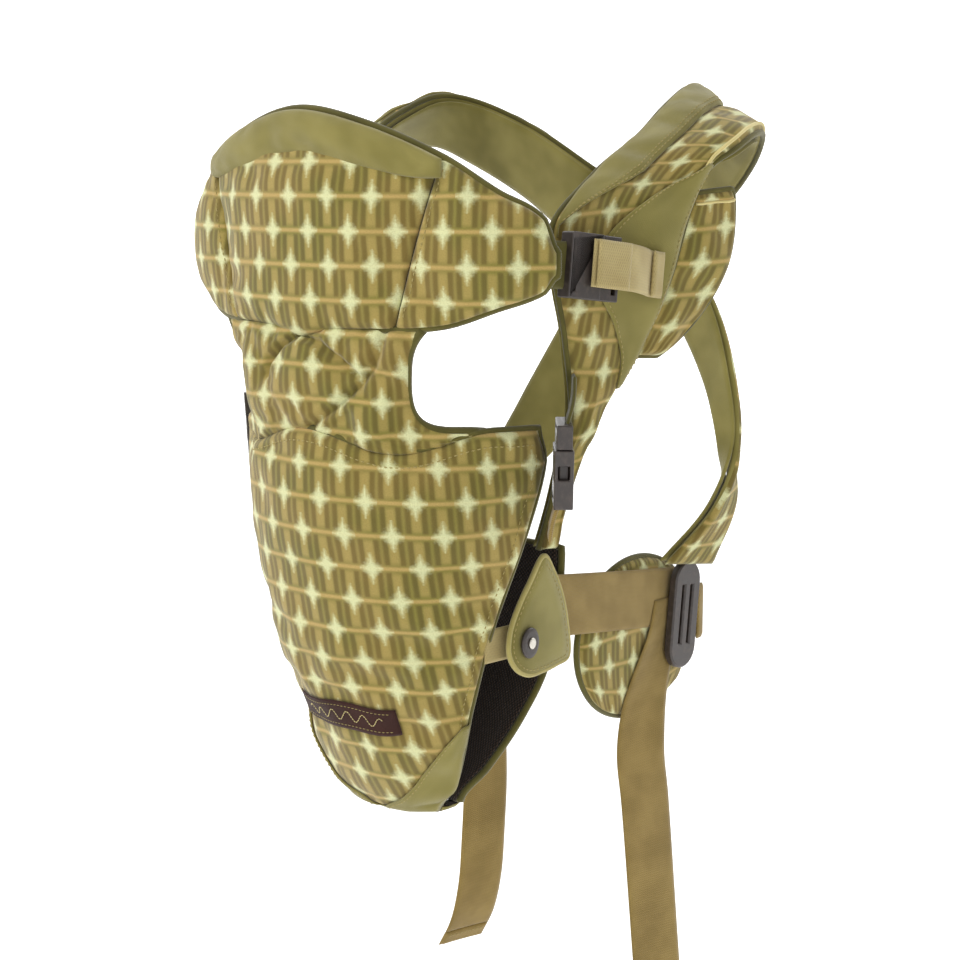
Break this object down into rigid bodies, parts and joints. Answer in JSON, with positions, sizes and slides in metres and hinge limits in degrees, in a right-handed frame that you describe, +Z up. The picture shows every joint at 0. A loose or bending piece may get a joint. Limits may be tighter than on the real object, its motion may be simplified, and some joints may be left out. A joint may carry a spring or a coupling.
{
  "type": "soft baby carrier",
  "caption": "Soft front baby carrier with padded pouch and headrest, crossed padded shoulder straps, waist webbing with sliders, and release buckles.",
  "frame": {"origin": "midway between the two shoulder straps, at the height where they rest on the wearer's shoulders", "axes": "+Z up, +Y from the baby's panel towards the wearer's back, +X towards the wearer's left"},
  "size_m": [0.3253, 0.3315, 0.6331],
  "materials": {
    "print_fabric": "printed quilted cotton",
    "plain_fabric": "plain woven cotton",
    "lining_fabric": "dark knitted lining",
    "label_fabric": "woven label",
    "webbing": "ribbed webbing",
    "light_webbing": "ribbed webbing",
    "dark_plastic": "moulded, semi-gloss",
    "snap_metal": "nickel plated"
  },
  "bodies": {
    "root": {"pouch_front_panel": "print_fabric", "waist_quilt_panel": "print_fabric", "shoulder_pad_left": "print_fabric", "shoulder_pad_right": "print_fabric", "shoulder_lobe_left": "print_fabric", "shoulder_lobe_right": "print_fabric", "back_strap_left": "print_fabric", "back_strap_right": "print_fabric", "leg_facing_left": "plain_fabric", "leg_facing_right": "plain_fabric", "seat_panel": "plain_fabric", "crotch_gusset": "plain_fabric", "shoulder_lining_left": "plain_fabric", "shoulder_lining_right": "plain_fabric", "shoulder_inlay_left": "plain_fabric", "shoulder_inlay_right": "plain_fabric", "back_strap_lining_left": "plain_fabric", "back_strap_lining_right": "plain_fabric", "back_cross_patch": "plain_fabric", "pouch_lining": "lining_fabric", "seat_lining": "lining_fabric", "label": "label_fabric", "waist_webbing_left": "webbing", "waist_webbing_right": "webbing", "side_buckle_webbing_left": "webbing", "side_buckle_webbing_right": "webbing", "anchor_webbing_left": "light_webbing", "anchor_webbing_right": "light_webbing", "side_buckle_socket_left": "dark_plastic", "side_buckle_socket_right": "dark_plastic", "snap_stud_left": "snap_metal", "snap_stud_right": "snap_metal"},
    "headrest": {"headrest_panel": "print_fabric", "headrest_wing_left": "print_fabric", "headrest_wing_right": "print_fabric", "headrest_lining": "lining_fabric", "collar_roll": "plain_fabric", "headrest_buckle_socket_left": "dark_plastic", "headrest_buckle_socket_right": "dark_plastic"},
    "headrest_clip_left": {"headrest_buckle_clip_left": "dark_plastic", "headrest_buckle_webbing_left": "light_webbing"},
    "side_clip_left": {"side_buckle_clip_left": "dark_plastic"},
    "snap_tab_left": {"side_tab_left": "plain_fabric", "snap_cap_left": "dark_plastic"},
    "slider_left": {"waist_slider_left": "dark_plastic", "slider_loop_left": "webbing", "hip_pad_left": "print_fabric", "waist_tail_left": "webbing", "tail_hem_left": "webbing"},
    "headrest_clip_right": {"headrest_buckle_clip_right": "dark_plastic", "headrest_buckle_webbing_right": "light_webbing"},
    "side_clip_right": {"side_buckle_clip_right": "dark_plastic"},
    "snap_tab_right": {"side_tab_right": "plain_fabric", "snap_cap_right": "dark_plastic"},
    "slider_right": {"waist_slider_right": "dark_plastic", "slider_loop_right": "webbing", "hip_pad_right": "print_fabric", "waist_tail_right": "webbing", "tail_hem_right": "webbing"}
  },
  "joints": [
    {"name": "headrest_tilt", "type": "hinge", "parent": "root", "child": "headrest", "pos_m": [0, -0.244, -0.132], "axis": [1, 0, 0], "range_deg": [0, 18]},
    {"name": "headrest_buckle_release_left", "type": "slide", "parent": "headrest", "child": "headrest_clip_left", "axis": [0.1569, 0.9806, -0.1177], "range_m": [0, 0.02]},
    {"name": "side_buckle_release_left", "type": "slide", "parent": "root", "child": "side_clip_left", "axis": [0.0499, -0.0399, 0.998], "range_m": [0, 0.028]},
    {"name": "snap_tab_open_left", "type": "hinge", "parent": "root", "child": "snap_tab_left", "pos_m": [0.0892, -0.107, -0.31], "axis": [0, 0, 1], "range_deg": [0, 70]},
    {"name": "waist_slider_adjust_left", "type": "slide", "parent": "root", "child": "slider_left", "axis": [0, -0.993, 0.1178], "range_m": [0, 0.02]},
    {"name": "headrest_buckle_release_right", "type": "slide", "parent": "headrest", "child": "headrest_clip_right", "axis": [-0.1569, 0.9806, -0.1177], "range_m": [0, 0.02]},
    {"name": "side_buckle_release_right", "type": "slide", "parent": "root", "child": "side_clip_right", "axis": [-0.0499, -0.0399, 0.998], "range_m": [0, 0.028]},
    {"name": "snap_tab_open_right", "type": "hinge", "parent": "root", "child": "snap_tab_right", "pos_m": [-0.0892, -0.107, -0.31], "axis": [0, 0, -1], "range_deg": [0, 70]},
    {"name": "waist_slider_adjust_right", "type": "slide", "parent": "root", "child": "slider_right", "axis": [0, -0.993, 0.1178], "range_m": [0, 0.02]}
  ]
}
